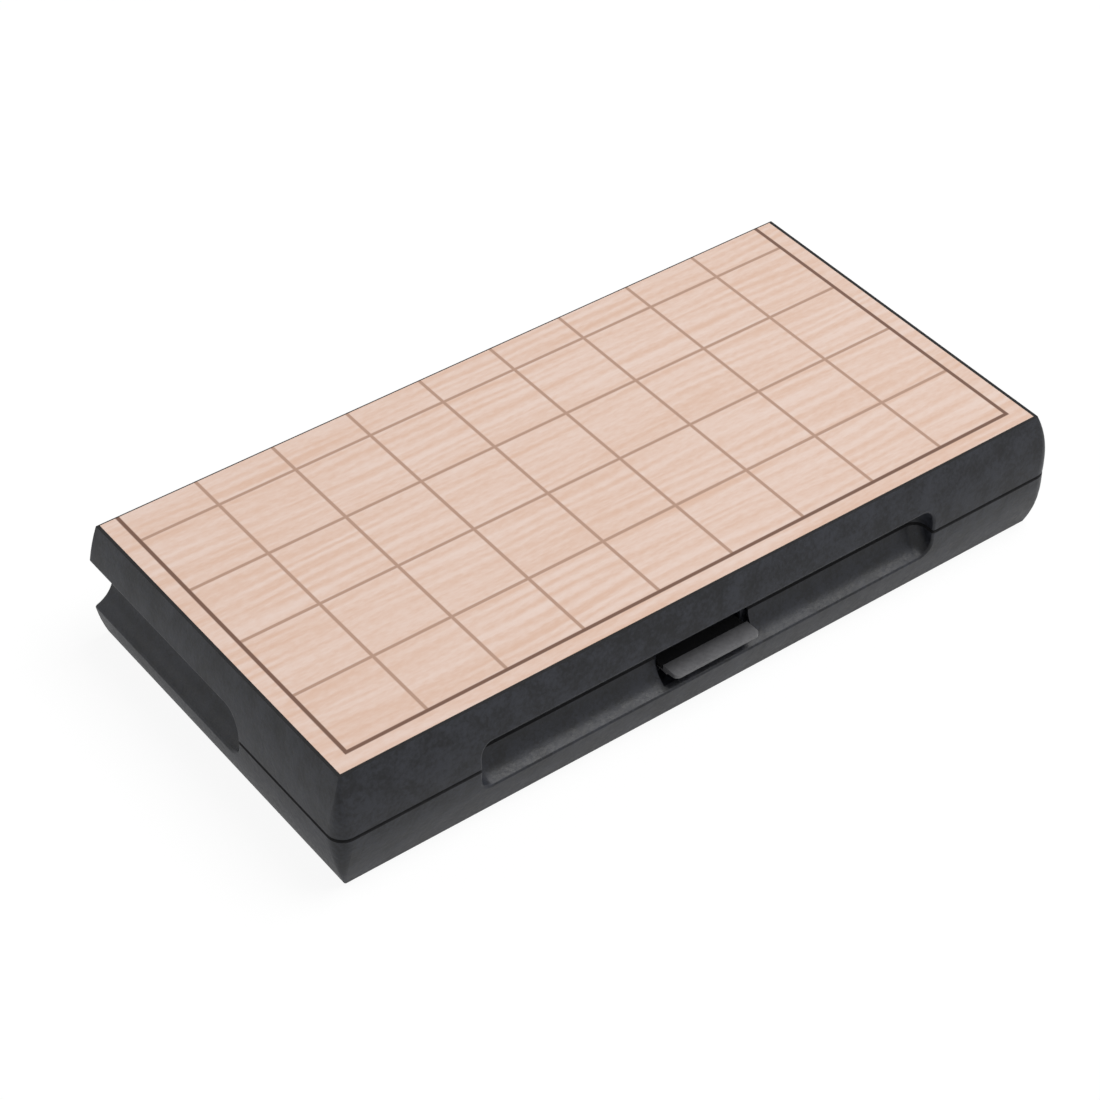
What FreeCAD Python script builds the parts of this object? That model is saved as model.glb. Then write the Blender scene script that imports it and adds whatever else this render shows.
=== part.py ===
import FreeCAD, Part
import Sketcher
import math
import os
import re

# A folding magnetic shogi board, closed for carrying, with its forty pieces stored inside.
# X runs along the length, +Y towards the hinge, +Z up. The origin is the centre of the lower
# playing face, which the closed set lies on. All sizes are in millimetres.

doc = FreeCAD.newDocument("folding_shogi_set")
sheet = doc.addObject("Spreadsheet::Sheet", "Sheet")

# Driving dimensions
SIZES = {
    # Board face: nine columns, nine rows, split at the middle of the fifth row
    "columns": 9,
    "rows": 9,
    "column_pitch": 25.4,
    "row_pitch": 25.1,
    "margin": 5.5,
    "sheet_gap": 0.1,
    "rim": 0.95,
    "fold_rim": 0.3,
    "print_thick": 0.3,
    "steel_thick": 0.5,
    # Moulded half: height to the parting plane, outward flare, walls and rounded corners
    "half_height": 19.7,
    "flare": 3.8,
    "web": 1.6,
    "wall": 2.0,
    "corner_top": 0.6,
    "corner_seam": 5.0,
    "seam_chamfer": 0.6,
    # Finger grooves along three sides
    "grip_length": 158.0,
    "side_grip_length": 152.0,
    "grip_half": 8.3,
    "grip_depth": 7.0,
    "grip_end": 4.0,
    "side_grip_end": 7.0,
    "grip_lip": 0.8,
    # Hinge at the back, on the parting plane
    "fold_gap": 0.15,
    "hinge_inset": 45.85,
    "knuckle_radius": 3.0,
    "knuckle_width": 14.0,
    "knuckle_side_gap": 0.3,
    "knuckle_clearance": 0.35,
    "hinge_wall": 1.4,
    "hinge_pin_radius": 1.0,
    "pin_clearance": 0.05,
    # Locating pegs in the front corners
    "peg_boss_radius": 3.0,
    "peg_inset": 4.6,
    "peg_radius": 1.4,
    "peg_tip_radius": 1.1,
    "peg_height": 1.8,
    "peg_clearance": 0.3,
    # Latch lever in the middle of the front groove
    "recess_width": 32.8,
    "recess_drop": 7.6,
    "recess_depth": 1.4,
    "recess_wall": 1.2,
    "slot_drop": 5.7,
    "slot_seat": 0.3,
    "blade_width": 29.6,
    "blade_drop": 2.65,
    "blade_thick": 1.9,
    "blade_tip_thick": 1.1,
    "blade_reach": 0.65,
    "blade_depth": 5.9,
    "blade_corner": 1.6,
    "lever_width": 29.0,
    "arm_thick": 1.6,
    "arm_root": 1.2,
    "hub_radius": 2.3,
    "latch_pin_radius": 0.9,
    "latch_pin_back": 5.55,
    "latch_pin_drop": 6.5,
    "pin_grip": 0.02,
    "hook_thick": 1.8,
    "hook_forward": 1.6,
    "hook_rise": 7.0,
    "nose_reach": 1.9,
    "nose_thick": 1.5,
    "nose_gap": 0.3,
    "tail_length": 5.5,
    "tail_drop": 1.1,
    "ear_thick": 3.0,
    "ear_gap": 0.3,
    "ear_radius": 2.5,
    # Catch ledge inside the front wall of the upper half
    "catch_width": 31.6,
    "catch_height": 3.2,
    "catch_reach": 1.1,
    "catch_root": 1.0,
    "catch_lip": 0.8,
    "catch_foot": 0.8,
    # Coil spring under the lever's tail
    "spring_radius": 1.6,
    "spring_wire": 0.25,
    "spring_turns": 5,
    "spring_inset": 2.2,
    "spring_seat": 0.03,
    "spigot_radius": 1.1,
    "spigot_height": 2.0,
    # Pieces: storage grid and the shape they share
    "piece_pitch_x": 22.8,
    "piece_pitch_y": 25.0,
    "piece_rows_back": 43.5,
    "piece_fall": 1.8,
    "piece_taper": 2.3,
    "piece_shoulder": 5.2,
    "piece_chamfer": 0.4,
    "magnet_length": 8.0,
    "magnet_width": 6.0,
    "magnet_thick": 1.2,
    "magnet_gap": 0.05,
}

# Ranks of piece: base width, length and thickness at the base
RANKS = {
    "king": (20.0, 22.0, 5.6),
    "rook": (19.0, 21.0, 5.4),
    "bishop": (19.0, 21.0, 5.4),
    "gold": (18.0, 20.0, 5.2),
    "silver": (18.0, 20.0, 5.2),
    "knight": (17.0, 19.5, 5.0),
    "lance": (15.5, 19.5, 4.8),
    "pawn": (15.0, 18.5, 4.6),
}

# Derived lengths, each a rule in the names above
RULES = {
    "half_sheet": "columns*column_pitch/2 + margin",
    "half_length": "half_sheet + sheet_gap + rim",
    "half_depth": "(rows/2*row_pitch + margin + sheet_gap + rim - fold_gap)/2",
    "side_seam": "half_length + flare",
    "front_seam": "half_depth + flare",
    "barrel": "(half_height^2 + flare^2)/(2*flare)",
    "floor_top": "print_thick + steel_thick + web",
    "grip_sag": "grip_depth - (barrel - sqrt(barrel^2 - grip_half^2))",
    "grip_radius": "(grip_half^2 + grip_sag^2)/(2*grip_sag)",
    "grip_axis": "grip_radius - grip_depth",
    "axis_y": "half_depth + fold_gap",
    "knuckle_step": "knuckle_width + knuckle_side_gap",
    "hinge_length": "3*knuckle_width + 2*knuckle_side_gap",
    "hinge_offset": "half_length - hinge_inset",
    "grip_wall": "-(front_seam - grip_depth)",
    "recess_back": "grip_wall + recess_depth",
    "latch_y": "grip_wall + latch_pin_back",
    "latch_z": "half_height - latch_pin_drop",
    "blade_front": "-front_seam - blade_reach",
    "blade_root": "blade_front + blade_depth",
    "blade_top": "half_height - blade_drop",
    "arm_bottom": "half_height - slot_drop + slot_seat",
    "arm_start": "blade_root - arm_root",
    "hook_front": "latch_y - hook_forward",
    "hook_back": "hook_front + hook_thick",
    "hook_top": "half_height + hook_rise",
    "nose_tip": "hook_front - nose_reach",
    "nose_bottom": "half_height + catch_height + nose_gap",
    "nose_top": "nose_bottom + nose_thick",
    "tail_bottom": "latch_z - tail_drop",
    "tail_end": "latch_y + tail_length",
    "spring_y": "tail_end - spring_inset",
    "spring_rise": "tail_bottom - floor_top - 2*spring_wire - 2*spring_seat",
    "catch_wall": "grip_wall + wall",
    "peg_x": "side_seam - peg_inset",
    "peg_y": "front_seam - peg_inset",
}

for row, (name, number) in enumerate(SIZES.items(), start=1):
    sheet.set(f"A{row}", name)
    sheet.set(f"B{row}", str(number))
    sheet.setAlias(f"B{row}", name)
for rank, sizes in RANKS.items():
    for part_name, number in zip(("width", "length", "thick"), sizes):
        row += 1
        name = f"{rank}_{part_name}"
        SIZES[name] = number
        sheet.set(f"A{row}", name)
        sheet.set(f"B{row}", str(number))
        sheet.setAlias(f"B{row}", name)
doc.recompute()


def formula(rule):
    """A rule in plain names as a document expression that reads the sheet."""
    def word(match):
        name = match[0]
        if name in RULES:
            return f"({formula(RULES[name])})"
        return f"Sheet.{name}" if name in SIZES else name
    return re.sub(r"[a-z_]+", word, str(rule))


def value(rule):
    return float(sheet.evalExpression(formula(rule)))


def bind(target, path, rule):
    target.setExpression(path, formula(rule))


def place(target, x="0", y="0", z="0"):
    for axis_name, rule in zip("xyz", (x, y, z)):
        if str(rule) != "0":
            bind(target, f"Placement.Base.{axis_name}", rule)


# Sketches

def new_sketch(body, plane):
    role = f"{plane}_Plane"
    sketch = body.newObject("Sketcher::SketchObject", f"{body.Name}_outline")
    origin_plane = next(o for o in body.Origin.OriginFeatures if o.Role == role)
    sketch.AttachmentSupport = [(origin_plane, "")]
    sketch.MapMode = "FlatFace"
    return sketch


def arc_edge(start, end, radius, turn):
    """An arc of under half a circle; turn is 1 for anticlockwise and -1 for clockwise."""
    across = end - start
    lift = math.sqrt(max(radius ** 2 - (across.Length / 2) ** 2, 0.0))
    normal = FreeCAD.Vector(-across.y, across.x, 0).normalize()
    centre = (start + end) / 2 + normal * lift * turn
    first, last = (start, end) if turn > 0 else (end, start)
    angles = [math.atan2(p.y - centre.y, p.x - centre.x) for p in (first, last)]
    circle = Part.Circle(centre, FreeCAD.Vector(0, 0, 1), radius)
    return Part.ArcOfCircle(circle, *angles)


def outline(sketch, corners):
    """A closed outline. A corner is (x, y), or (x, y, radius, turn) where an arc leaves it."""
    spots = [FreeCAD.Vector(value(c[0]), value(c[1]), 0) for c in corners]
    edges = []
    for index, corner in enumerate(corners):
        start, end = spots[index], spots[(index + 1) % len(corners)]
        if len(corner) == 2:
            edge = sketch.addGeometry(Part.LineSegment(start, end))
            edges.append((edge, 1, 2))
        else:
            arc = arc_edge(start, end, value(corner[2]), corner[3])
            edge = sketch.addGeometry(arc)
            edges.append((edge, 1, 2) if corner[3] > 0 else (edge, 2, 1))
    for index, corner in enumerate(corners):
        edge, leaving, _ = edges[index]
        before, _, arriving = edges[index - 1]
        sketch.addConstraint(Sketcher.Constraint("Coincident", before, arriving, edge, leaving))
        for kind, axis, rule in (("DistanceX", -2, corner[0]), ("DistanceY", -1, corner[1])):
            if str(rule) == "0":
                sketch.addConstraint(Sketcher.Constraint("PointOnObject", edge, leaving, axis))
                continue
            pin = Sketcher.Constraint(kind, -1, 1, edge, leaving, value(rule))
            bind(sketch, f"Constraints[{sketch.addConstraint(pin)}]", rule)
        if len(corner) == 4:
            radius = Sketcher.Constraint("Radius", edge, value(corner[2]))
            bind(sketch, f"Constraints[{sketch.addConstraint(radius)}]", corner[2])


def rectangle(sketch, x_low, x_high, y_low, y_high):
    outline(sketch, [(x_low, y_low), (x_high, y_low), (x_high, y_high), (x_low, y_high)])


def ring(sketch, x, y, radius):
    """A full circle."""
    centre = FreeCAD.Vector(value(x), value(y), 0)
    circle = Part.Circle(centre, FreeCAD.Vector(0, 0, 1), value(radius))
    edge = sketch.addGeometry(circle)
    for kind, axis, rule in (("DistanceX", -2, x), ("DistanceY", -1, y)):
        if str(rule) == "0":
            sketch.addConstraint(Sketcher.Constraint("PointOnObject", edge, 3, axis))
            continue
        pin = Sketcher.Constraint(kind, -1, 1, edge, 3, value(rule))
        bind(sketch, f"Constraints[{sketch.addConstraint(pin)}]", rule)
    size = Sketcher.Constraint("Radius", edge, value(radius))
    bind(sketch, f"Constraints[{sketch.addConstraint(size)}]", radius)


# Features

def new_body(name):
    body = doc.addObject("PartDesign::Body", name)
    body.Label = name
    return body


def pad(body, sketch, length, both_ways=False, reverse=False):
    feature = body.newObject("PartDesign::Pad", f"{body.Name}_pad")
    feature.Profile = sketch
    feature.SideType = "Symmetric" if both_ways else "One side"
    feature.Reversed = reverse
    bind(feature, "Length", length)
    doc.recompute()
    return feature


def pocket(body, sketch, length, both_ways=False, reverse=False):
    before = body.Shape.Volume
    feature = body.newObject("PartDesign::Pocket", f"{body.Name}_pocket")
    feature.Profile = sketch
    feature.SideType = "Symmetric" if both_ways else "One side"
    feature.Reversed = reverse
    bind(feature, "Length", length)
    doc.recompute()
    if not body.Shape.Volume < before:
        raise RuntimeError(f"{body.Label}: a pocket cut nothing")
    return feature


def edges_where(shape, test):
    return [f"Edge{i}" for i, edge in enumerate(shape.Edges, start=1) if test(edge)]


def round_edges(body, test, radius):
    base = body.Tip
    names = edges_where(base.Shape, test)
    feature = body.newObject("PartDesign::Fillet", f"{body.Name}_round")
    feature.Base = (base, names)
    bind(feature, "Radius", radius)
    body.Tip = feature
    doc.recompute()
    return feature


def combine(kind, name, shapes):
    """A Part::MultiFuse or Part::MultiCommon of several objects."""
    joined = doc.addObject(kind, name)
    joined.Shapes = shapes
    joined.Refine = True
    doc.recompute()
    return joined


def cut(name, base, tool):
    feature = doc.addObject("Part::Cut", name)
    feature.Base = base
    feature.Tool = tool
    feature.Refine = True
    doc.recompute()
    if not feature.Shape.Volume < base.Shape.Volume:
        raise RuntimeError(f"{name}: nothing was cut")
    return feature


TURN_Z_TO_X = FreeCAD.Rotation(FreeCAD.Vector(0, 1, 0), 90)


def rod(name, radius, length, x="0", y="0", z="0", along_x=True):
    """A plain cylinder that starts at the given point."""
    cylinder = doc.addObject("Part::Cylinder", name)
    cylinder.Label = name
    bind(cylinder, "Radius", radius)
    bind(cylinder, "Height", length)
    if along_x:
        cylinder.Placement.Rotation = TURN_Z_TO_X
    place(cylinder, x, y, z)
    return cylinder


def slab(name, half_width, y_low, y_high, z_low, z_high):
    """A box centred on X, between two depths and two heights."""
    box = doc.addObject("Part::Box", name)
    bind(box, "Length", f"2*({half_width})")
    bind(box, "Width", f"{y_high} - ({y_low})")
    bind(box, "Height", f"{z_high} - ({z_low})")
    place(box, f"-({half_width})", y_low, z_low)
    return box


# The moulded half that both shells share, lying on its playing face with its open side up

FULL = "half_height + 2*flare"


def barrel_edge(seam, inset, low):
    """How far out the barrel-shaped wall stands at the height low."""
    return f"({seam} - barrel + sqrt((barrel - {inset})^2 - (half_height - {low})^2))"


def barrel_block(name, inset, low, high):
    """A block with barrel-shaped front and sides and an upright back, drawn in by inset."""
    body = new_body(name)
    radius = f"barrel - {inset}"
    front = new_sketch(body, "YZ")
    outline(front, [
        (f"-{barrel_edge('front_seam', inset, low)}", low),
        (f"half_depth - {inset}", low),
        (f"half_depth - {inset}", high),
        (f"-(front_seam - {inset})", high),
        (f"-(front_seam - {inset})", "half_height", radius, 1),
    ] if high != "half_height" else [
        (f"-{barrel_edge('front_seam', inset, low)}", low),
        (f"half_depth - {inset}", low),
        (f"half_depth - {inset}", high),
        (f"-(front_seam - {inset})", high, radius, 1),
    ])
    pad(body, front, "2*(side_seam + flare)", both_ways=True)
    sides = new_sketch(body, "XZ")
    for sign, turn in (("", 1), ("-", -1)):
        outline(sides, [
            (f"{sign}{barrel_edge('side_seam', inset, low)}", low, radius, turn),
            (f"{sign}(side_seam - {inset})", "half_height"),
            (f"{sign}(side_seam - {inset})", FULL),
            (f"{sign}(side_seam + 2*flare)", FULL),
            (f"{sign}(side_seam + 2*flare)", "-flare"),
            (f"{sign}{barrel_edge('side_seam', inset, low)}", "-flare"),
        ])
    pocket(body, sides, "4*half_depth", both_ways=True)
    return body


def groove(name, grow, side):
    """A bar along the seam, larger by grow; side 0 is the front, -1 and 1 the ends."""
    body = new_body(name)
    section = new_sketch(body, "YZ" if side == 0 else "XZ")
    seam = "front_seam" if side == 0 else "side_seam"
    sign = "" if side > 0 else "-"
    ring(section, f"{sign}({seam} + grip_axis)", "half_height", f"grip_radius + {grow}")
    length = "side_grip_length" if side else "grip_length"
    pad(body, section, f"{length} + 2*{grow}", both_ways=True)
    if side:
        place(body, y="half_depth")
    return body


def rounded_groove(name, side):
    body = groove(name, "0", side)
    corner = "side_grip_end" if side else "grip_end"
    round_edges(body, lambda edge: edge.Curve.TypeId == "Part::GeomCircle", corner)
    return body


def points_along(edge):
    first, last = edge.ParameterRange
    return [edge.valueAt(first + (last - first) * share) for share in (0.1, 0.5, 0.9)]


def in_fold_plane(edge):
    return all(abs(p.y - value("half_depth")) < 0.01 for p in points_along(edge))


def finish_edges(kind, name, base, chosen):
    """A Part::Fillet or Part::Chamfer over (edge number, first radius, last radius)."""
    feature = doc.addObject(kind, name)
    feature.Base = base
    feature.Edges = chosen
    doc.recompute()
    return feature


def lip_edges(shape, block, grooves):
    """Edges where a groove breaks out through the wall."""
    skins = [Part.makeShell(block.Shape.Faces), Part.makeShell(grooves.Shape.Faces)]
    seam = value("half_height")
    chosen = []
    for number, edge in enumerate(shape.Edges, start=1):
        spots = points_along(edge)
        if in_fold_plane(edge) or not all(0.01 < p.z < seam - 0.01 for p in spots):
            continue
        dots = [Part.Vertex(p) for p in spots]
        if all(dot.distToShape(skin)[0] < 0.02 for skin in skins for dot in dots):
            chosen.append((number, value("grip_lip"), value("grip_lip")))
    return chosen


def corner_edges(shape):
    """The two upright front corners, sharp at the playing face and round at the seam."""
    small, large = value("corner_top"), value("corner_seam")
    chosen = []
    for number, edge in enumerate(shape.Edges, start=1):
        ends = [vertex.Point for vertex in (edge.firstVertex(), edge.lastVertex())]
        heights = sorted(p.z for p in ends)
        full = heights[0] < 0.01 and heights[1] > value("half_height") - 0.01
        if full and all(p.y < -value("half_depth") + 0.01 for p in ends):
            rising = ends[0].z < ends[1].z
            chosen.append((number, small, large) if rising else (number, large, small))
    return chosen


def seam_edges(shape):
    """The outer edges of the parting plane, apart from the fold side."""
    seam = value("half_height")
    size = value("seam_chamfer")
    flat = lambda edge: all(abs(p.z - seam) < 0.001 for p in points_along(edge))
    return [
        (number, size, size) for number, edge in enumerate(shape.Edges, start=1)
        if flat(edge) and not in_fold_plane(edge)
    ]


block = barrel_block("moulding_block", "0", "0", "half_height")
grooves = combine("Part::MultiFuse", "grooves", [
    rounded_groove("front_groove", 0),
    rounded_groove("left_groove", -1),
    rounded_groove("right_groove", 1),
])
grooved = cut("grooved_block", block, grooves)
lipped = finish_edges("Part::Fillet", "lipped_block", grooved,
                      lip_edges(grooved.Shape, block, grooves))
cornered = finish_edges("Part::Fillet", "cornered_block", lipped, corner_edges(lipped.Shape))
outer_form = finish_edges("Part::Chamfer", "outer_form", cornered, seam_edges(cornered.Shape))

hollow_block = barrel_block("hollow_block", "wall", "floor_top", FULL)
keep_out = [
    groove("front_bulge", "wall", 0),
    groove("left_bulge", "wall", -1),
    groove("right_bulge", "wall", 1),
]
for sign in ("", "-"):
    keep_out.append(rod(f"peg_boss{sign and '_left'}", "peg_boss_radius", FULL,
                        f"{sign}peg_x", "-peg_y", along_x=False))
    keep_out.append(rod(f"hinge_backing{sign and '_left'}",
                        "knuckle_radius + knuckle_clearance + hinge_wall",
                        "hinge_length + 2*(knuckle_side_gap + hinge_wall)",
                        f"{sign}hinge_offset - hinge_length/2 - knuckle_side_gap - hinge_wall",
                        "axis_y", "half_height"))
cavity = cut("cavity", hollow_block, combine("Part::MultiFuse", "keep_out", keep_out))
open_shell = cut("open_shell", outer_form, cavity)

sheet_bed = slab("sheet_bed", "half_length - rim", "-(half_depth - rim)",
                 "half_depth - fold_rim", "0", "print_thick + steel_thick")
moulded_half = cut("moulded_half", open_shell, sheet_bed)


# Hinge knuckles, their clearance notches and the bores for the hinge pins

HINGES = {"left": "-hinge_offset", "right": "hinge_offset"}


def knuckle_start(middle, index):
    return f"({middle} - hinge_length/2 + {index}*knuckle_step)"


def hinge_rods(owner, kept, pin_gap):
    """Knuckles at the kept places of three, notches at the others, and a bore through all."""
    knuckles, notches = [], []
    for side, middle in HINGES.items():
        for index in range(3):
            start = knuckle_start(middle, index)
            name = f"{owner}_{side}_{index}"
            if index in kept:
                knuckles.append(rod(f"knuckle_{name}", "knuckle_radius", "knuckle_width",
                                    start, "axis_y", "half_height"))
            else:
                notches.append(rod(f"notch_{name}", "knuckle_radius + knuckle_clearance",
                                   "knuckle_width + 2*knuckle_side_gap",
                                   f"{start} - knuckle_side_gap", "axis_y", "half_height"))
        notches.append(rod(f"hinge_bore_{owner}_{side}", f"hinge_pin_radius + {pin_gap}",
                           "hinge_length", f"{middle} - hinge_length/2", "axis_y",
                           "half_height"))
    return knuckles, notches


# Lower shell: the latch's recess and slot, its ears, the spring's spigot and locating pegs

def latch_ear(name, start):
    body = new_body(name)
    side = new_sketch(body, "YZ")
    outline(side, [
        ("latch_y - ear_radius", "print_thick + steel_thick + web/2"),
        ("latch_y + ear_radius", "print_thick + steel_thick + web/2"),
        ("latch_y + ear_radius", "latch_z", "ear_radius", 1),
        ("latch_y", "latch_z + ear_radius", "ear_radius", 1),
        ("latch_y - ear_radius", "latch_z"),
    ])
    pad(body, side, "ear_thick")
    place(body, x=start)
    return body


def locating_peg(name, sign):
    peg = doc.addObject("Part::Cone", name)
    bind(peg, "Radius1", "peg_radius")
    bind(peg, "Radius2", "peg_tip_radius")
    bind(peg, "Height", "peg_height")
    place(peg, f"{sign}peg_x", "-peg_y", "half_height")
    return peg


knuckles, openings = hinge_rods("lower", (0, 2), "pin_grip")
openings.append(slab("latch_recess", "recess_width/2", "-(front_seam + flare)", "recess_back",
                     "half_height - recess_drop", FULL))
openings.append(slab("latch_slot", "lever_width/2 + ear_gap", "grip_wall",
                     "recess_back + 1.2*recess_wall", "half_height - slot_drop", FULL))
openings.append(rod("ear_bore", "latch_pin_radius + pin_grip", "lever_width + 4*ear_thick",
                    "-(lever_width/2 + 2*ear_thick)", "latch_y", "latch_z"))
recess_block = slab("recess_block", "recess_width/2 + web", "-front_seam",
                    "recess_back + recess_wall", "half_height - recess_drop - web",
                    "half_height")
additions = knuckles + [
    combine("Part::MultiCommon", "recess_box", [outer_form, recess_block]),
    latch_ear("left_ear", "-(lever_width/2 + ear_gap + ear_thick)"),
    latch_ear("right_ear", "lever_width/2 + ear_gap"),
    rod("spring_spigot", "spigot_radius", "web/2 + spigot_height",
        "0", "spring_y", "floor_top - web/2", along_x=False),
    locating_peg("right_peg", ""),
    locating_peg("left_peg", "-"),
]
lower_solid = combine("Part::MultiFuse", "lower_solid", [moulded_half] + additions)
lower_shell = cut("lower_shell", lower_solid, combine("Part::MultiFuse", "lower_cuts", openings))


# Upper shell: the same half turned over from side to side, with the catch ledge

catch = new_body("catch_ledge")
ledge = new_sketch(catch, "YZ")
outline(ledge, [
    ("catch_wall - catch_root", "half_height - catch_height"),
    ("catch_wall + catch_reach", "half_height - catch_height"),
    ("catch_wall + catch_reach", "half_height - catch_height + catch_lip"),
    ("catch_wall", "half_height - catch_foot"),
    ("catch_wall - catch_root", "half_height - catch_foot"),
])
pad(catch, ledge, "catch_width", both_ways=True)
knuckles, openings = hinge_rods("upper", (1,), "pin_clearance")
for sign in ("", "-"):
    openings.append(rod(f"peg_socket{sign and '_left'}", "peg_radius + peg_clearance",
                        "2*(peg_height + peg_clearance)", f"{sign}peg_x", "-peg_y",
                        "half_height - peg_height - peg_clearance", along_x=False))
upper_solid = combine("Part::MultiFuse", "upper_solid", [moulded_half, catch] + knuckles)
upper_shell = cut("upper_shell", upper_solid, combine("Part::MultiFuse", "upper_cuts", openings))
upper_shell.Placement.Rotation = FreeCAD.Rotation(FreeCAD.Vector(0, 1, 0), 180)
place(upper_shell, z="2*half_height")


# Steel sheets that the magnets hold to, and the printed board faces over them

def face_sheet(name, thickness, low):
    body = new_body(name)
    plan = new_sketch(body, "XY")
    rectangle(plan, "-half_sheet", "half_sheet",
              "-(half_depth - rim - sheet_gap)", "half_depth - fold_rim - sheet_gap")
    pad(body, plan, thickness)
    place(body, z=low)
    return body


lower_print = face_sheet("lower_board_print", "print_thick", "0")
lower_steel = face_sheet("lower_steel_sheet", "steel_thick", "print_thick")
upper_print = face_sheet("upper_board_print", "print_thick", "2*half_height - print_thick")
upper_steel = face_sheet("upper_steel_sheet", "steel_thick",
                         "2*half_height - print_thick - steel_thick")


# Hinge pins

hinge_pins = [
    rod(f"hinge_pin_{side}", "hinge_pin_radius", "hinge_length",
        f"{middle} - hinge_length/2", "axis_y", "half_height")
    for side, middle in HINGES.items()
]


# Latch lever: finger blade, arm, hub, tail and sprung hook in one moulding

lever = new_body("latch_lever")
web_sketch = new_sketch(lever, "YZ")
outline(web_sketch, [
    ("arm_start", "arm_bottom"),
    ("latch_y - hub_radius", "arm_bottom"),
    ("latch_y", "tail_bottom"),
    ("tail_end", "tail_bottom"),
    ("tail_end", "tail_bottom + arm_thick"),
    ("hook_back", "arm_bottom + arm_thick/2"),
    ("hook_back", "hook_top"),
    ("hook_front", "hook_top"),
    ("nose_tip", "nose_top"),
    ("nose_tip", "nose_bottom"),
    ("hook_front", "nose_bottom"),
    ("hook_front", "arm_bottom + arm_thick"),
    ("arm_start", "arm_bottom + arm_thick"),
])
pad(lever, web_sketch, "lever_width", both_ways=True)
hub_sketch = new_sketch(lever, "YZ")
ring(hub_sketch, "latch_y", "latch_z", "hub_radius")
pad(lever, hub_sketch, "lever_width", both_ways=True)
blade_sketch = new_sketch(lever, "YZ")
outline(blade_sketch, [
    ("blade_front", "blade_top - blade_tip_thick"),
    ("blade_root", "blade_top - blade_thick"),
    ("blade_root", "blade_top"),
    ("blade_front", "blade_top"),
])
pad(lever, blade_sketch, "blade_width", both_ways=True)
bore_sketch = new_sketch(lever, "YZ")
ring(bore_sketch, "latch_y", "latch_z", "latch_pin_radius + pin_clearance")
pocket(lever, bore_sketch, "2*lever_width", both_ways=True)


def blade_front_corner(edge):
    front = value("blade_front")
    return edge.BoundBox.ZLength > 0.5 and all(abs(p.y - front) < 0.01 for p in points_along(edge))


round_edges(lever, blade_front_corner, "blade_corner")

latch_pin = rod("latch_pin", "latch_pin_radius", "lever_width + 2*(ear_gap + ear_thick)",
                "-(lever_width/2 + ear_gap + ear_thick)", "latch_y", "latch_z")


# Coil spring that holds the hook forward over the catch

spring = new_body("latch_spring")
wire = new_sketch(spring, "XZ")
WIRE_SIDES = 6
wire_turns = [360 * side / WIRE_SIDES for side in range(WIRE_SIDES)]
outline(wire, [
    (f"spring_radius + spring_wire*cos({turn} deg)",
     f"spring_wire + spring_seat + spring_wire*sin({turn} deg)") for turn in wire_turns
])
coil = spring.newObject("PartDesign::AdditiveHelix", "coil")
coil.Profile = wire
coil.ReferenceAxis = (wire, ["V_Axis"])
coil.Mode = "height-turns-growth"
bind(coil, "Height", "spring_rise")
bind(coil, "Turns", "spring_turns")
place(spring, "0", "spring_y", "floor_top")
doc.recompute()


# The forty pieces, stored in four rows of ten, two rows for each player, each with a magnet

NEAR_RANKS = (
    ("lance", "knight", "silver", "gold", "king", "rook", "gold", "silver", "knight", "lance"),
    ("pawn",) * 4 + ("bishop",) + ("pawn",) * 5,
)


def piece_solid(name, rank):
    """A five-sided wedge, thick at its base and thin at its point."""
    wide, long, thick = (f"{rank}_{size}" for size in ("width", "length", "thick"))
    body = new_body(name)
    plan = new_sketch(body, "XY")
    outline(plan, [
        (f"-{wide}/2", f"-{long}/2"),
        (f"{wide}/2", f"-{long}/2"),
        (f"{wide}/2 - piece_taper", f"{long}/2 - piece_shoulder"),
        ("0", f"{long}/2"),
        (f"-{wide}/2 + piece_taper", f"{long}/2 - piece_shoulder"),
    ])
    pad(body, plan, thick)
    slope = new_sketch(body, "YZ")
    outline(slope, [
        (f"-{long}/2", thick),
        (f"{long}/2", f"{thick} - piece_fall"),
        (f"{long}/2", f"2*{thick}"),
        (f"-{long}/2", f"2*{thick}"),
    ])
    pocket(body, slope, f"2*{wide}", both_ways=True)
    bed = new_sketch(body, "XY")
    rectangle(bed, "-magnet_width/2 - magnet_gap", "magnet_width/2 + magnet_gap",
              "-magnet_length/2 - magnet_gap", "magnet_length/2 + magnet_gap")
    pocket(body, bed, "magnet_thick + magnet_gap", reverse=True)
    top = value(f"{thick} - piece_fall") - 0.01
    base = body.Tip
    rim_names = edges_where(base.Shape, lambda edge: all(p.z > top for p in points_along(edge)))
    chamfer = body.newObject("PartDesign::Chamfer", f"{name}_chamfer")
    chamfer.Base = (base, rim_names)
    bind(chamfer, "Size", "piece_chamfer")
    body.Tip = chamfer
    return body


mouldings = {rank: piece_solid(f"{rank}_moulding", rank) for rank in RANKS}
magnet = slab("piece_magnet", "magnet_width/2", "-magnet_length/2", "magnet_length/2",
              "0", "magnet_thick")


def stored_piece(name, rank, column, row_number, facing_back):
    piece = doc.addObject("Part::Compound", name)
    piece.Label = name
    piece.Links = [mouldings[rank], magnet]
    if facing_back:
        piece.Placement.Rotation = FreeCAD.Rotation(FreeCAD.Vector(0, 0, 1), 180)
    middle = (len(NEAR_RANKS[0]) - 1) / 2
    place(piece, f"piece_pitch_x*({column - middle})",
          f"piece_rows_back - piece_pitch_y*{3 - row_number}", "floor_top")
    return piece


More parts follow.
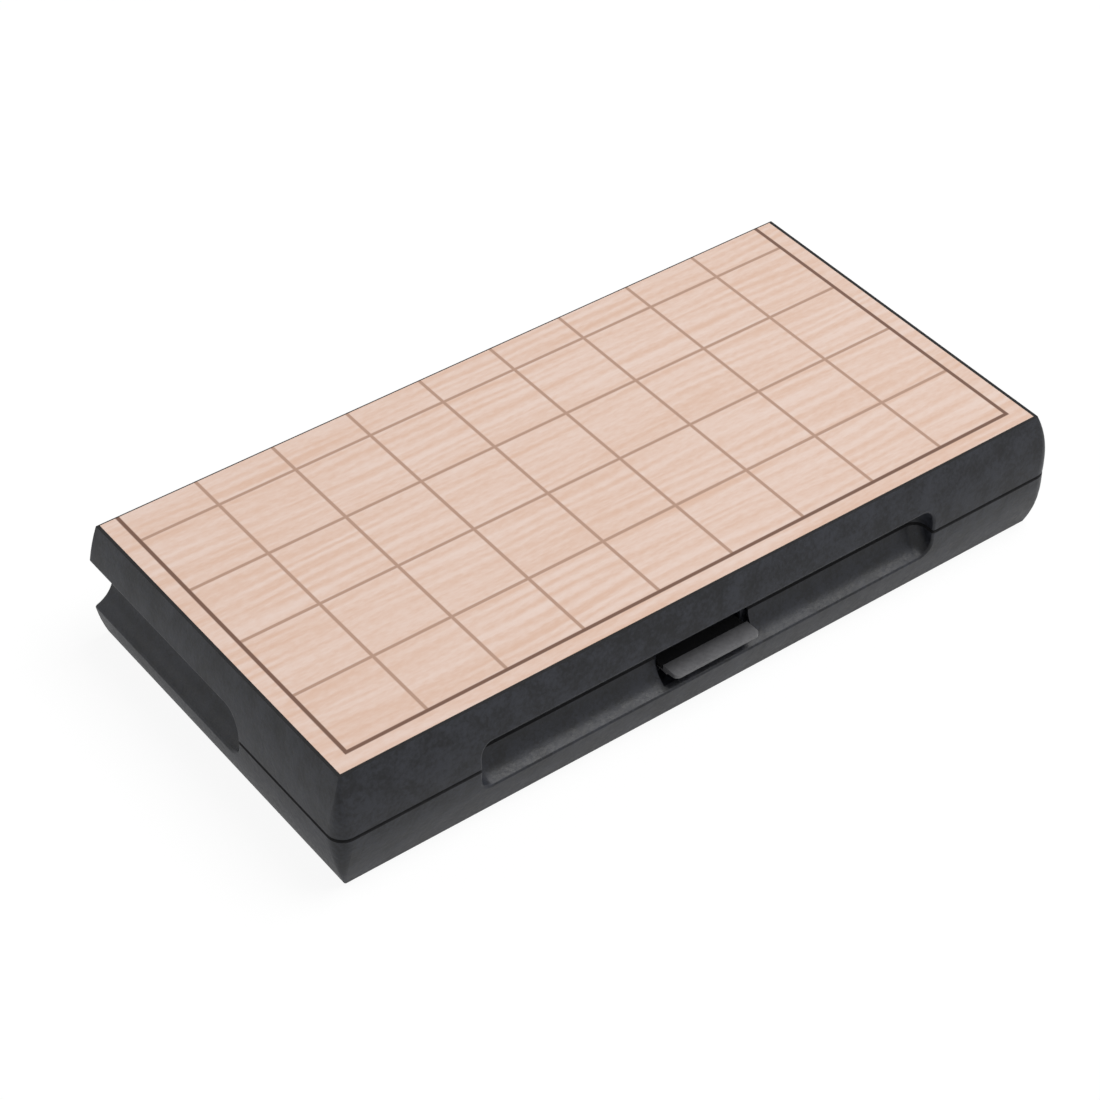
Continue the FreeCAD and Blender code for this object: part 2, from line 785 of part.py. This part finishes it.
pieces = []
for player, facing_back in (("near", False), ("far", True)):
    for line, ranks in enumerate(NEAR_RANKS):
        for column, rank in enumerate(ranks):
            row_number = 3 - line if facing_back else line
            if facing_back:
                column = len(ranks) - 1 - column
            name = f"{player}_{rank}"
            if sum(row.count(rank) for row in NEAR_RANKS) > 1:
                name += f"_{1 + sum(p.Label.startswith(name) for p in pieces)}"
            pieces.append(stored_piece(name, rank, column, row_number, facing_back))

doc.recompute()


# Check and write every part

PARTS = [lower_shell, upper_shell, lower_print, lower_steel, upper_print, upper_steel]
PARTS += hinge_pins + [lever, latch_pin, spring] + pieces

for item in doc.Objects:
    if {"Invalid", "Error"} & set(item.State):
        raise RuntimeError(f"{item.Label} failed: {item.State}")
os.makedirs("parts", exist_ok=True)
for item in PARTS:
    if item.Shape.isNull() or not item.Shape.isValid():
        raise RuntimeError(f"{item.Label} has no valid shape")
for item in PARTS:
    item.Shape.exportStep(f"parts/{item.Label}.step")
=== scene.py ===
import math

import bpy
from mathutils import Euler, Matrix, Vector


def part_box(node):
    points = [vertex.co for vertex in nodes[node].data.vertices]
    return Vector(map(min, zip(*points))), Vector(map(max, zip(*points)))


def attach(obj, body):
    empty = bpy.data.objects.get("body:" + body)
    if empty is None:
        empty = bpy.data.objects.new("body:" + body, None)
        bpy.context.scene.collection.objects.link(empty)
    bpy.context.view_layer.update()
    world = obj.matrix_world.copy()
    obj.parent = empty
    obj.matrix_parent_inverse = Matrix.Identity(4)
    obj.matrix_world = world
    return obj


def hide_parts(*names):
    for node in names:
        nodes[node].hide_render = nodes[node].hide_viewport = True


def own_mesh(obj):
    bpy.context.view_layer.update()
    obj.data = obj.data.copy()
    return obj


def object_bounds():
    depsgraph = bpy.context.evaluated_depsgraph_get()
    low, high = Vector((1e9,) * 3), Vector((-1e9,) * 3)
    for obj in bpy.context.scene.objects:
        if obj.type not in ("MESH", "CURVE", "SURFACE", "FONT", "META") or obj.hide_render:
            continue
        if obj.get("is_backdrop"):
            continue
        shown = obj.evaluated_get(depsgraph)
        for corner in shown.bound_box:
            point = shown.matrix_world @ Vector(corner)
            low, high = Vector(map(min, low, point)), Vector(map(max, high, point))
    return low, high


# A folding magnetic shogi set, closed for carrying. X runs along the case, +Y points to the
# hinge, +Z is up, and the case lies on z = 0. Everything is in metres.

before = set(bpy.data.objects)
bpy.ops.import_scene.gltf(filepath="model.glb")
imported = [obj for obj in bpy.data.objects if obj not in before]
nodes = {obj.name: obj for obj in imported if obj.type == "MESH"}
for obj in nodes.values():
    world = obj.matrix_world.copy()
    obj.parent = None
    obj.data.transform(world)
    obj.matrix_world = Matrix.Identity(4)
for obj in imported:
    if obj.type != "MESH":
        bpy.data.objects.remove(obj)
cad_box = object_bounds()
mm = 0.001


# Shells
# The case is two halves moulded in charcoal ABS. The tool is spark-eroded, so the skin has a
# fine matt grain, with soft clouding where the plastic flowed. Both halves are CAD nodes.

class Signal:
    """A shader value on which arithmetic adds Math nodes."""

    def __init__(self, finish, socket):
        self.finish = finish
        self.socket = socket

    def math(self, operation, *others, clamp=False):
        settings = {"operation": operation, "use_clamp": clamp}
        values = dict(enumerate((self,) + others))
        return self.finish.node("ShaderNodeMath", settings, values)[0]

    def __add__(self, other):
        return self.math("ADD", other)

    def __sub__(self, other):
        return self.math("SUBTRACT", other)

    def __mul__(self, other):
        return self.math("MULTIPLY", other)

    def __truediv__(self, other):
        return self.math("DIVIDE", other)

    def __rsub__(self, other):
        return self.math("MULTIPLY", -1.0) + other

    __radd__ = __add__
    __rmul__ = __mul__


class Finish:
    """A procedural material on Object coordinates; constants go straight to the shader."""

    def __init__(self, name, **constants):
        self.material = bpy.data.materials.new(name)
        self.material.use_nodes = True
        self.tree = self.material.node_tree
        self.shader = self.tree.nodes["Principled BSDF"]
        for socket, value in constants.items():
            self.shader.inputs[socket.replace("_", " ")].default_value = value
        self.place = self.node("ShaderNodeTexCoord")["Object"]

    def node(self, kind, settings=None, values=None):
        """Adds a node and returns its outputs by name and number."""
        made = self.tree.nodes.new(kind)
        for name, value in (settings or {}).items():
            setattr(made, name, value)
        for key, value in (values or {}).items():
            if isinstance(value, Signal):
                self.tree.links.new(value.socket, made.inputs[key])
            else:
                made.inputs[key].default_value = value
        outputs = {number: Signal(self, socket) for number, socket in enumerate(made.outputs)}
        outputs.update((out.socket.name, out) for out in list(outputs.values()))
        return outputs

    def spread(self, turn=0.0, size=(1.0, 1.0, 1.0)):
        """Coordinates turned about Z and measured in units of size, given in millimetres."""
        scale = tuple(1.0 / (mm * side) for side in size)
        turned = self.node("ShaderNodeVectorRotate", {"rotation_type": "Z_AXIS"},
                           {"Vector": self.place, "Angle": -turn})["Vector"]
        return self.node("ShaderNodeVectorMath", {"operation": "MULTIPLY"},
                         {0: turned, 1: scale})["Vector"]

    def noise(self, vector, detail=2.0, roughness=0.5, scale=1.0, distortion=0.0):
        values = {"Vector": vector, "Scale": scale, "Detail": detail, "Roughness": roughness,
                  "Distortion": distortion}
        return self.node("ShaderNodeTexNoise", None, values)[0]

    def step(self, value, low, high):
        """A smooth rise from 0 at low to 1 at high."""
        values = {"Value": value, "From Min": low, "From Max": high}
        settings = {"interpolation_type": "SMOOTHSTEP"}
        return self.node("ShaderNodeMapRange", settings, values)["Result"]

    def mix(self, factor, first, second):
        """A colour between two colours or colour signals."""
        values = {"Factor": factor, 6: first, 7: second}
        return self.node("ShaderNodeMix", {"data_type": "RGBA"}, values)[2]

    def paint(self, **sockets):
        for name, value in sockets.items():
            self.tree.links.new(value.socket, self.shader.inputs[name.replace("_", " ")])

    def bump(self, height, depth):
        """Relief whose full height is depth, in millimetres."""
        values = {"Height": height, "Distance": depth * mm, "Strength": 1.0}
        self.paint(Normal=self.node("ShaderNodeBump", None, values)["Normal"])

    def coat(self, *names):
        for name in names:
            nodes[name].data.materials.clear()
            nodes[name].data.materials.append(self.material)


def srgb(red, green, blue):
    """A colour given as 0 to 255 screen values, made linear."""
    def linear(level):
        level /= 255.0
        return level / 12.92 if level <= 0.04045 else ((level + 0.055) / 1.055) ** 2.4
    return linear(red), linear(green), linear(blue), 1.0


def moulded_plastic(name, dark, light, shine):
    """Spark-eroded ABS: pale clouding over a dark body, and a fine grain on soft sink marks.

    Where the halves meet edge to edge at the back, a black line of painted shade stands for the
    shade in the fine gap of the joint.
    """
    finish = Finish(name, Specular_IOR_Level=0.32)
    cloud = finish.noise(finish.spread(size=(8.0, 8.0, 8.0)), detail=3.0, roughness=0.6)
    fleck = finish.noise(finish.spread(size=(1.2, 1.2, 1.2)), detail=2.0, roughness=0.6)
    grain = finish.noise(finish.spread(size=(0.35, 0.35, 0.35)), detail=1.0)
    tone = finish.step(cloud * 0.55 + fleck * 0.45, 0.36, 0.64)
    place = finish.node("ShaderNodeSeparateXYZ", None, {"Vector": finish.place})
    off_middle = (place["Z"] / mm - middle_height / mm).math("ABSOLUTE")
    # Painted shade: a thin black line along the closed back joint, where the fine gap lies in
    # shade
    painted_gap_shade = finish.step(off_middle, 0.2, 0.05) * finish.step(place["Y"] / mm, 59.0, 60.0)
    finish.paint(Base_Color=finish.mix(painted_gap_shade, finish.mix(tone, dark, light), black))
    finish.paint(Roughness=shine + fleck * 0.3 - 0.15 + painted_gap_shade * 0.5)
    finish.bump(cloud * 0.8 + fleck * 0.2 + grain * 0.05 - painted_gap_shade, 0.26)
    return finish


middle_height = 19.7 * mm
black = srgb(3, 3, 3)
shell_plastic = moulded_plastic("charcoal_abs", srgb(17, 18, 22), srgb(44, 46, 53), 0.42)
shell_plastic.coat("lower_shell", "upper_shell")

# The bevelled parting line and the thin rim round each board face get a black plastic: painted
# shade for the dark gap of the parting line and the dark line between rim and print
painted_shade_plastic = moulded_plastic("unpolished_edge_abs", srgb(16, 16, 17), srgb(26, 26, 28), 0.85)
parting_bevel = 0.65 * mm
rim_height = 19.6 * mm
for name in ("lower_shell", "upper_shell"):
    mesh = nodes[name].data
    mesh.materials.append(painted_shade_plastic.material)
    for face in mesh.polygons:
        heights = [abs(mesh.vertices[index].co.z - middle_height) for index in face.vertices]
        parting = max(heights) < parting_bevel and 0.2 < abs(face.normal.z) < 0.95
        rim = min(heights) > rim_height and abs(face.normal.z) > 0.95
        if parting or rim:
            face.material_index = 1


# Steel sheets
# Under each board face lies a sheet of tinned steel, blanked on a press, which the magnets in
# the pieces hold to. Only its cut edge could ever be seen. Both sheets are CAD nodes.

def drawn_steel(name, dark, light, along, across):
    """Rolled or drawn steel: faint streaks along the direction of working."""
    finish = Finish(name, Metallic=1.0)
    streak = finish.noise(finish.spread(size=(along, across, across)), detail=3.0)
    stain = finish.noise(finish.spread(size=(14.0, 14.0, 14.0)), detail=2.0)
    finish.paint(Base_Color=finish.mix(finish.step(streak, 0.3, 0.7), dark, light))
    finish.paint(Roughness=0.26 + stain * 0.2)
    finish.bump(streak, 0.01)
    return finish


tinned_sheet = drawn_steel("tinned_sheet", srgb(150, 150, 152), srgb(178, 178, 178), 30.0, 0.5)
tinned_sheet.coat("lower_steel_sheet", "upper_steel_sheet")


# Board faces
# The playing face is a printed film over the steel: pale wood grain under a satin varnish, with
# the ruled squares of the board. The fold cuts it through the middle of the fifth row.

face_low, face_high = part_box("upper_board_print")
column_pitch = 25.4
row_pitch = 25.1
columns = 9
border_x = columns * column_pitch / 2
border_y = face_low.y / mm + 5.5

film = Finish("printed_wood_film", Specular_IOR_Level=0.3)
place = film.node("ShaderNodeSeparateXYZ", None, {"Vector": film.place})
x, y, z = (place[axis] / mm for axis in "XYZ")


def grain(along, across, level, **settings):
    """Noise drawn out along X, at the given height across the grain."""
    stretched = {"X": x / along, "Y": level / across, "Z": z / 6.0}
    return film.noise(film.node("ShaderNodeCombineXYZ", None, stretched)["Vector"], **settings)


sway = (grain(70.0, 16.0, y, detail=1.0) - 0.5) * 6.0
level = y + sway
ring_drift = (grain(90.0, 9.0, level, detail=1.0) - 0.5) * 2.6
ring = ((level / 4.0 + ring_drift) * math.tau).math("SINE")
vigour = film.step(grain(40.0, 12.0, level, detail=1.0), 0.35, 0.65) * 0.14 + 0.05
streak = grain(60.0, 2.2, level, detail=1.5)
band = grain(70.0, 6.0, level, detail=1.0)
pore = grain(2.5, 0.8, level, detail=1.0)
tone = ring * vigour + streak * 0.8 + band * 0.35 + pore * 0.6 - 0.37
wood = film.mix(film.step(tone, 0.0, 1.0), srgb(222, 187, 166), srgb(234, 211, 199))


def ruled(distance, width):
    """1 on a printed line of that width, from the distance to its middle."""
    return film.step(distance, width / 2 + 0.2, width / 2 - 0.2)


def nearest_line(place, first, pitch):
    """The distance to the nearest of a row of evenly spaced lines."""
    turns = (place - first) / pitch + 0.5
    return ((turns.math("FRACT") - 0.5) * pitch).math("ABSOLUTE")


inside_x = film.step(x.math("ABSOLUTE"), border_x + 0.1, border_x - 0.1)
inside_y = film.step(y, border_y - 0.1, border_y + 0.1)
column_line = ruled(nearest_line(x, border_x, column_pitch), 1.06)
row_line = ruled(nearest_line(y, border_y, row_pitch), 1.06)
square_line = column_line.math("MAXIMUM", row_line) * inside_x * inside_y
side_line = ruled((x.math("ABSOLUTE") - border_x).math("ABSOLUTE"), 1.2) * inside_y
front_line = ruled((y - border_y).math("ABSOLUTE"), 1.2)
front_line = front_line * film.step(x.math("ABSOLUTE"), border_x + 0.65, border_x + 0.55)

printed = film.mix(square_line, wood, srgb(181, 147, 128))
printed = film.mix(side_line.math("MAXIMUM", front_line), printed, srgb(115, 84, 69))
film.paint(Base_Color=printed, Roughness=0.42 + streak * 0.12)
film.bump(streak * 0.5 + band * 0.5, 0.006)
film.coat("lower_board_print", "upper_board_print")


# Hinge pins and latch pin
# Plain lengths of drawn steel wire, cropped to length and pushed through the moulded knuckles
# and the two ears behind the latch. All are CAD nodes.

pin_wire = drawn_steel("drawn_pin_wire", srgb(140, 141, 144), srgb(176, 177, 180), 12.0, 0.15)
pin_wire.coat("hinge_pin_left", "hinge_pin_right", "latch_pin")


# Latch lever
# A rocker moulded in the same charcoal ABS, worn a little smoother where the finger lifts it. Its
# colour here is a mid grey, far lighter than the shells: painted light on the blade, which sits in
# the shade of the upper lip.
# It turns on its pin, and its hook stands behind the catch ledge of the upper half.

# Painted light: the charcoal lever is given a mid grey, as if lit, so the blade reads bright in
# the lip's shade
lit_lever_plastic = moulded_plastic("lever_abs", srgb(102, 102, 104), srgb(114, 114, 116), 0.4)
lit_lever_plastic.coat("latch_lever")

# The arm behind the blade takes the black plastic: painted shade for the deep slot behind the
# blade, which lies in shadow
blade_back = -58.3 * mm
mesh = nodes["latch_lever"].data
mesh.materials.append(painted_shade_plastic.material)
for face in mesh.polygons:
    if min(mesh.vertices[index].co.y for index in face.vertices) > blade_back:
        face.material_index = 1


# Latch spring
# A small coil of spring wire, blued from its stress relief and wound as an open helix. It stands
# between the floor of the lower shell and the lever's tail, which shortens it when it comes down.

spring_wire = drawn_steel("blued_spring_wire", srgb(92, 96, 108), srgb(140, 140, 146), 0.6, 0.6)
wire_radius = 0.25 * mm
coil_turns = 5
spring_low, spring_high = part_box("latch_spring")
spring_foot = Vector(((spring_low.x + spring_high.x) / 2, (spring_low.y + spring_high.y) / 2,
                      spring_low.z))
coil_radius = (spring_high.x - spring_low.x) / 2 - wire_radius
coil_rise = spring_high.z - spring_low.z - 2 * wire_radius

bpy.ops.object.select_all(action="DESELECT")
bpy.ops.mesh.primitive_circle_add(vertices=12, radius=wire_radius,
                                  location=(coil_radius, 0, wire_radius),
                                  rotation=(math.pi / 2, 0, 0))
bpy.ops.object.transform_apply(location=True, rotation=True, scale=True)
coil = bpy.context.object
coil.name = "latch_spring_coil"
winding = coil.modifiers.new("winding", "SCREW")
winding.axis = "Z"
winding.iterations = coil_turns
winding.screw_offset = coil_rise / coil_turns
winding.steps = 32
bpy.ops.object.modifier_apply(modifier="winding")
bpy.ops.object.mode_set(mode="EDIT")
bpy.ops.mesh.select_all(action="SELECT")
bpy.ops.mesh.remove_doubles(threshold=0.001 * mm)
bpy.ops.mesh.fill_holes(sides=0)
bpy.ops.mesh.normals_make_consistent(inside=False)
bpy.ops.object.mode_set(mode="OBJECT")
coil.location = spring_foot
bpy.ops.object.transform_apply(location=True, rotation=True, scale=True)
bpy.ops.object.shade_smooth_by_angle(angle=math.radians(40))
coil.data.materials.append(spring_wire.material)
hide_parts("latch_spring")
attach(coil, "base")
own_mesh(coil)


# Pieces
# Forty wedge-shaped men moulded in ivory styrene with a satin skin. They lie on the floor of
# the lower half, each with a flat magnet let into its underside. All are CAD nodes.

ivory = Finish("ivory_styrene", Specular_IOR_Level=0.5, Subsurface_Weight=0.08,
               Subsurface_Scale=0.002)
swirl = ivory.noise(ivory.spread(size=(7.0, 7.0, 7.0)), detail=2.0, distortion=0.6)
pore = ivory.noise(ivory.spread(size=(0.4, 0.4, 0.4)), detail=1.0)
ivory.paint(Base_Color=ivory.mix(ivory.step(swirl, 0.3, 0.7), srgb(226, 205, 160),
                                 srgb(238, 220, 180)))
ivory.paint(Roughness=0.34 + swirl * 0.14)
ivory.bump(pore, 0.01)

ferrite = Finish("sintered_magnet", Specular_IOR_Level=0.4)
speck = ferrite.noise(ferrite.spread(size=(0.35, 0.35, 0.35)), detail=3.0)
ferrite.paint(Base_Color=ferrite.mix(speck, srgb(52, 50, 50), srgb(86, 84, 84)))
ferrite.paint(Roughness=0.5 + speck * 0.2)
ferrite.bump(speck, 0.02)

piece_names = sorted(name for name in nodes if name.startswith(("near_", "far_")))
ivory.coat(*piece_names)
magnet_reach = Vector((3.02, 4.02, 1.22)) * mm
for name in piece_names:
    low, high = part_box(name)
    middle = (low + high) / 2
    mesh = nodes[name].data
    mesh.materials.append(ferrite.material)
    for face in mesh.polygons:
        corners = [mesh.vertices[index].co for index in face.vertices]
        sizes = [(abs(c.x - middle.x), abs(c.y - middle.y), c.z - low.z) for c in corners]
        if all(side <= reach for size in sizes for side, reach in zip(size, magnet_reach)):
            face.material_index = 1


# Move marks
# Each man has its moves pad-printed in black ink on its sloping face: a square for the man
# itself, a dot for each step it may take and a bar where it may run on.

move_marks = {
    "king": ("dot", (-1, 1), (0, 1), (1, 1), (-1, 0), (1, 0), (-1, -1), (0, -1), (1, -1)),
    "rook": ("bar", (0, 1), (-1, 0), (1, 0), (0, -1)),
    "bishop": ("bar", (-1, 1), (1, 1), (-1, -1), (1, -1)),
    "gold": ("dot", (-1, 1), (0, 1), (1, 1), (-1, 0), (1, 0), (0, -1)),
    "silver": ("dot", (-1, 1), (0, 1), (1, 1), (-1, -1), (1, -1)),
    "knight": ("dot", (-1, 2), (1, 2)),
    "lance": ("bar", (0, 1)),
    "pawn": ("dot", (0, 1)),
}
mark_step = 3.2 * mm
ink_thick = 0.1 * mm
ink_sink = 0.03 * mm
piece_fall = 1.8 * mm
mark_setback = 2.2 * mm

pad_ink = Finish("pad_ink", Specular_IOR_Level=0.4)
coverage = pad_ink.noise(pad_ink.spread(size=(0.5, 0.5, 0.5)), detail=2.0)
pad_ink.paint(Base_Color=pad_ink.mix(coverage, srgb(30, 28, 27), srgb(52, 48, 46)))
pad_ink.paint(Roughness=0.3 + coverage * 0.3)
pad_ink.bump(coverage, 0.01)


def rounded_rim(width):
    """Rounds every edge of the fresh primitive, as wet ink settles."""
    bpy.ops.object.mode_set(mode="EDIT")
    bpy.ops.mesh.select_all(action="SELECT")
    bpy.ops.mesh.bevel(offset=width, segments=2, affect="EDGES")
    bpy.ops.object.mode_set(mode="OBJECT")
    return bpy.context.object


def ink_bar(spot, turn, width, length):
    bpy.ops.mesh.primitive_cube_add(size=1.0, location=spot, rotation=(0, 0, turn),
                                    scale=(width, length, ink_thick))
    bpy.ops.object.transform_apply(location=False, rotation=False, scale=True)
    return rounded_rim(0.03 * mm)


def ink_dot(spot):
    bpy.ops.mesh.primitive_cylinder_add(vertices=20, radius=0.8 * mm, depth=ink_thick,
                                        location=spot)
    return rounded_rim(0.03 * mm)


def printed_moves(rank):
    """All the marks of one rank as one object, about the middle of its own square."""
    shape, *moves = move_marks[rank]
    strokes = [ink_bar((0, 0, 0), 0.0, 2.0 * mm, 2.0 * mm)]
    for move in moves:
        way = Vector((*move, 0)) * mark_step
        if shape == "dot":
            strokes.append(ink_dot(way))
        else:
            turn = -math.atan2(way.x, way.y)
            strokes.append(ink_bar(way.normalized() * 1.45 * mark_step, turn, 1.0 * mm, 3.6 * mm))
    for stroke in strokes:
        stroke.select_set(True)
    bpy.ops.object.join()
    bpy.ops.object.transform_apply(location=True, rotation=True, scale=True)
    marks = bpy.context.object
    marks.data.materials.append(pad_ink.material)
    return marks


for rank in move_marks:
    bpy.ops.object.select_all(action="DESELECT")
    pattern = printed_moves(rank)
    for name in piece_names:
        if name.split("_")[1] != rank:
            continue
        low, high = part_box(name)
        middle = (low + high) / 2
        slope = math.atan(piece_fall / (high.y - low.y))
        faces_back = name.startswith("far_")
        toward_tip = -1.0 if faces_back else 1.0
        face_height = high.z - piece_fall / 2 + mark_setback * math.tan(slope)
        bpy.ops.object.select_all(action="DESELECT")
        pattern.select_set(True)
        bpy.context.view_layer.objects.active = pattern
        bpy.ops.object.duplicate()
        mark = bpy.context.object
        mark.name = f"{name}_mark"
        mark.location = (middle.x, middle.y - toward_tip * mark_setback,
                         face_height + ink_thick / 2 - ink_sink)
        mark.rotation_euler = (-slope, 0, math.pi if faces_back else 0)
        bpy.ops.object.transform_apply(location=True, rotation=True, scale=True)
        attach(mark, f"{name}_piece")
    bpy.data.objects.remove(pattern)


# Studio: floor, light and camera
# The set lies on a plain white table in soft light from overhead. The table and the walls of the
# room stay white to the eye and in reflections, and the table keeps the set's shadow.

def white_to_the_eye(tree, seen, reflected):
    """The share of white that camera rays meet, and that glossy and transmission rays meet."""
    rays = tree.nodes.new("ShaderNodeLightPath")
    shares = {"Is Camera Ray": seen, "Is Glossy Ray": reflected, "Is Transmission Ray": reflected}
    share = None
    for kind, part in shares.items():
        weighed = tree.nodes.new("ShaderNodeMath")
        weighed.operation = "MULTIPLY"
        weighed.inputs[1].default_value = part
        tree.links.new(rays.outputs[kind], weighed.inputs[0])
        if share is None:
            share = weighed.outputs[0]
            continue
        larger = tree.nodes.new("ShaderNodeMath")
        larger.operation = "MAXIMUM"
        tree.links.new(share, larger.inputs[0])
        tree.links.new(weighed.outputs[0], larger.inputs[1])
        share = larger.outputs[0]
    return share


bpy.ops.object.select_all(action="DESELECT")
bpy.ops.mesh.primitive_plane_add(size=30.0, location=(0, 0, -0.0002))
floor = bpy.context.object
floor.name = "studio_floor"
floor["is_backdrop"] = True
table = bpy.data.materials.new("white_table")
table.use_nodes = True
tree = table.node_tree
matt = tree.nodes["Principled BSDF"]
matt.inputs["Base Color"].default_value = srgb(238, 238, 238)
matt.inputs["Roughness"].default_value = 0.9
glow = tree.nodes.new("ShaderNodeEmission")
glow.inputs["Strength"].default_value = 1.04
blend = tree.nodes.new("ShaderNodeMixShader")
tree.links.new(white_to_the_eye(tree, 0.88, 0.4), blend.inputs[0])
tree.links.new(matt.outputs[0], blend.inputs[1])
tree.links.new(glow.outputs[0], blend.inputs[2])
tree.links.new(blend.outputs[0], tree.nodes["Material Output"].inputs[0])
floor.data.materials.append(table)

world = bpy.data.worlds.new("studio")
bpy.context.scene.world = world
world.use_nodes = True
sky = world.node_tree
backdrop = sky.nodes["Background"]
backdrop.inputs["Color"].default_value = (1.0, 1.0, 1.0, 1.0)
strength = sky.nodes.new("ShaderNodeMapRange")
strength.inputs["To Min"].default_value = 0.2
strength.inputs["To Max"].default_value = 1.0
sky.links.new(white_to_the_eye(sky, 1.0, 1.0), strength.inputs["Value"])
sky.links.new(strength.outputs["Result"], backdrop.inputs["Strength"])


def softbox(name, place, aim, size, power):
    """A square lamp that faces a point."""
    bpy.ops.object.light_add(type="AREA", location=place)
    lamp = bpy.context.object
    lamp.name = name
    lamp.data.shape = "SQUARE"
    lamp.data.size = size
    lamp.data.energy = power
    lamp.rotation_euler = (Vector(aim) - Vector(place)).to_track_quat("-Z", "Y").to_euler()


softbox("overhead", (1.5, -0.65, 3.5), (0, 0, 0), 2.4, 128.0)
softbox("back_left", (-1.55, 1.75, 1.9), (0, 0, 0), 2.0, 8.0)

bpy.ops.object.camera_add()
camera = bpy.context.object
camera.name = "photo_camera"
camera.data.sensor_width = 36.0
camera.data.lens = 99.53
camera.location = Vector((-401.07, -514.57, 590.6)) * mm
camera.rotation_euler = Euler([math.radians(turn) for turn in (48.298, -0.398, -36.912)])
bpy.context.scene.camera = camera
bpy.context.scene.view_settings.view_transform = "Standard"

sizes = {"cad": [list(corner) for corner in cad_box], "visual": [list(c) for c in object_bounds()]}
